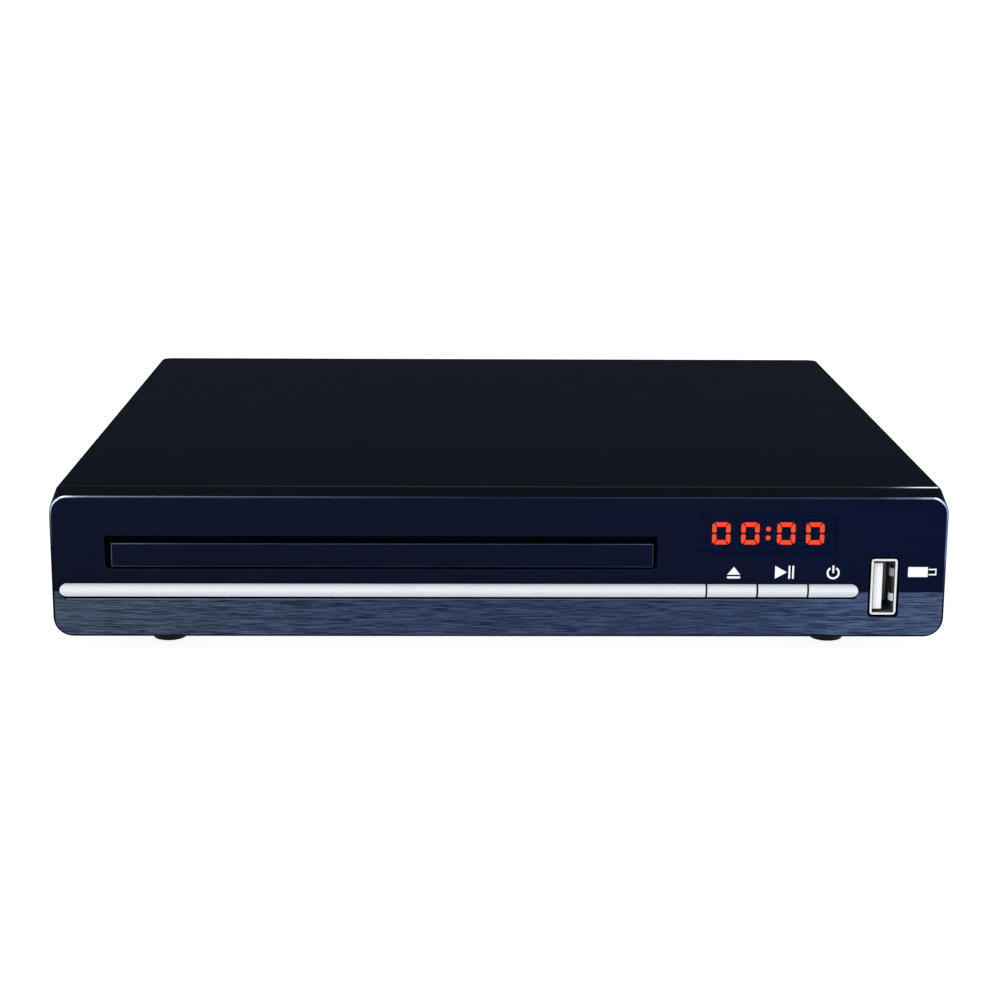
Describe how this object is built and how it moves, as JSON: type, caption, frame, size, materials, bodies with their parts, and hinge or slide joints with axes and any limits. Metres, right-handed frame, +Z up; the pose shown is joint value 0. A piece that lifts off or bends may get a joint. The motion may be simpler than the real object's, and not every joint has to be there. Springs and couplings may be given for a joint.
{
  "type": "disc player with sliding tray",
  "caption": "Slim disc player: a sliding loading tray with its geared drive, tilting deck, pickup and clamper, a lit display, push buttons, a front port and rear jacks.",
  "frame": {"origin": "on the table, below the centre of the player's whole box", "axes": "+X to the right seen from the front, +Y to the back, +Z up"},
  "size_m": [0.226, 0.2096, 0.0425],
  "materials": {
    "cover": "fine matt powder coat, near black",
    "sheet": "zinc-plated sheet steel, bare inside",
    "rear_sheet": "matt black powder coat",
    "panel": "brushed-look dark blue-grey moulding",
    "gloss": "piano-gloss navy black",
    "window": "smoked clear plastic",
    "pearl": "pearl white, glossy",
    "foot": "matt black rubber",
    "screw": "blackened steel",
    "screw_plain": "zinc-plated steel",
    "board": "green solder mask on glass-epoxy",
    "board_brown": "brown paper-phenolic board",
    "led_body": "black display housing",
    "led_lit": "lit red-orange segments",
    "sensor": "dark infrared-clear epoxy",
    "black": "black moulded plastic",
    "plated": "nickel-plated sheet steel",
    "white_nylon": "natural white nylon",
    "contact": "gold-flashed spring contacts",
    "cap_sleeve": "dark blue shrink sleeve",
    "cable": "pale grey flat cable",
    "jack_colour": "coloured collars, one colour for each jack",
    "lead": "black PVC insulation",
    "tape": "yellow winding tape and dark ferrite",
    "alloy": "plain extruded aluminium",
    "frame_black": "black filled ABS, fine texture",
    "tray_black": "black ABS, satin",
    "door": "piano-gloss navy black",
    "clamper_white": "white acetal",
    "magnet": "nickel-dull ferrite ring",
    "can": "drawn steel motor can",
    "gear": "natural acetal",
    "belt": "black rubber belt",
    "slider": "grey acetal",
    "rod": "ground steel rod",
    "pickup": "dark die casting",
    "lens": "coated lens"
  },
  "bodies": {
    "case": {"top_cover": "cover", "chassis_pan": "sheet", "rear_panel": "rear_sheet", "front_panel": "panel", "face_plate": "gloss", "display_window": "window", "trim_bar": "pearl", "rubber_feet": "foot", "cover_screws": "screw", "inner_screws": "screw_plain", "front_board": "board", "led_display": "led_body", "led_segments": "led_lit", "infrared_sensor": "sensor", "switch_bodies": "black", "port_shell": "plated", "port_tongue": "white_nylon", "port_contacts": "contact", "main_board": "board", "main_board_chips": "black", "board_sockets": "white_nylon", "board_capacitors": "cap_sleeve", "ribbon_cables": "cable", "jack_board": "board", "jack_block": "black", "jack_rings": "jack_colour", "jack_barrels": "plated", "video_shell": "plated", "video_tongue": "black", "power_board": "board_brown", "transformer": "tape", "heat_sink": "alloy", "power_inlet": "black", "inlet_pins": "plated", "mains_leads": "lead", "loader_frame": "frame_black", "clamp_bridge": "frame_black", "loading_motor": "can", "drive_belt": "belt"},
    "eject_key": {"eject_button": "pearl", "eject_plunger": "black"},
    "play_key": {"play_button": "pearl", "play_plunger": "black"},
    "power_key": {"power_button": "pearl", "power_plunger": "black"},
    "tray": {"disc_tray": "tray_black", "tray_door": "door"},
    "clamper_body": {"clamper": "clamper_white", "clamp_magnet": "magnet"},
    "motor_pulley": {"motor_pulley": "gear"},
    "pulley_gear": {"pulley_gear": "gear"},
    "tray_gear": {"tray_gear": "gear"},
    "cam_slider": {"cam_slider": "slider"},
    "deck": {"deck": "frame_black", "deck_motors": "can", "guide_rods": "rod"},
    "turntable": {"turntable": "black"},
    "pickup": {"pickup": "pickup", "pickup_lens": "lens"},
    "feed_screw": {"feed_screw": "rod"}
  },
  "joints": [
    {"name": "tray_slide", "type": "slide", "parent": "case", "child": "tray", "axis": [0, -1, 0], "range_m": [0, 0.13]},
    {"name": "tray_gear_spin", "type": "hinge", "parent": "case", "child": "tray_gear", "pos_m": [-0.0759, -0.08, 0.017], "axis": [0, 0, 1], "range_deg": [0, 744.89]},
    {"name": "pulley_gear_spin", "type": "hinge", "parent": "case", "child": "pulley_gear", "pos_m": [-0.0567, -0.08, 0.017], "axis": [0, 0, 1], "range_deg": [-2234.59, 0]},
    {"name": "motor_pulley_spin", "type": "hinge", "parent": "case", "child": "motor_pulley", "pos_m": [-0.0239, -0.082, 0.017], "axis": [0, 0, 1], "range_deg": [-8806.75, 0]},
    {"name": "deck_tilt", "type": "hinge", "parent": "case", "child": "deck", "pos_m": [-0.0299, 0.048, 0.01855], "axis": [-1, 0, 0], "range_deg": [0, 3.6]},
    {"name": "cam_slide", "type": "slide", "parent": "case", "child": "cam_slider", "axis": [-1, 0, 0], "range_m": [0, 0.02]},
    {"name": "turntable_spin", "type": "hinge", "parent": "deck", "child": "turntable", "pos_m": [-0.0299, -0.03633, 0.01324], "axis": [0, -0.0628, 0.998], "continuous": true},
    {"name": "clamper_spin", "type": "hinge", "parent": "case", "child": "clamper_body", "pos_m": [-0.0299, -0.0365, 0.03], "axis": [0, 0, 1], "continuous": true},
    {"name": "pickup_slide", "type": "slide", "parent": "deck", "child": "pickup", "axis": [0, 0.998, 0.0628], "range_m": [0, 0.036]},
    {"name": "feed_screw_spin", "type": "hinge", "parent": "deck", "child": "feed_screw", "pos_m": [-0.0539, 0.00646, 0.00997], "axis": [0, 0.998, 0.0628], "range_deg": [0, 4320.1]},
    {"name": "eject_press", "type": "slide", "parent": "case", "child": "eject_key", "axis": [0, 1, 0], "range_m": [0, 0.0004], "stiffness_N_per_m": 3000},
    {"name": "play_press", "type": "slide", "parent": "case", "child": "play_key", "axis": [0, 1, 0], "range_m": [0, 0.0004], "stiffness_N_per_m": 3000},
    {"name": "power_press", "type": "slide", "parent": "case", "child": "power_key", "axis": [0, 1, 0], "range_m": [0, 0.0004], "stiffness_N_per_m": 3000}
  ],
  "couplings": [
    {"joint": "tray_gear_spin", "follows": "tray_slide", "rad_per_m": 100},
    {"joint": "pulley_gear_spin", "follows": "tray_slide", "rad_per_m": -300},
    {"joint": "motor_pulley_spin", "follows": "tray_slide", "rad_per_m": -1182.4},
    {"joint": "cam_slide", "follows": "deck_tilt", "m_per_rad": 0.31831},
    {"joint": "feed_screw_spin", "follows": "pickup_slide", "rad_per_m": 2094.4}
  ]
}
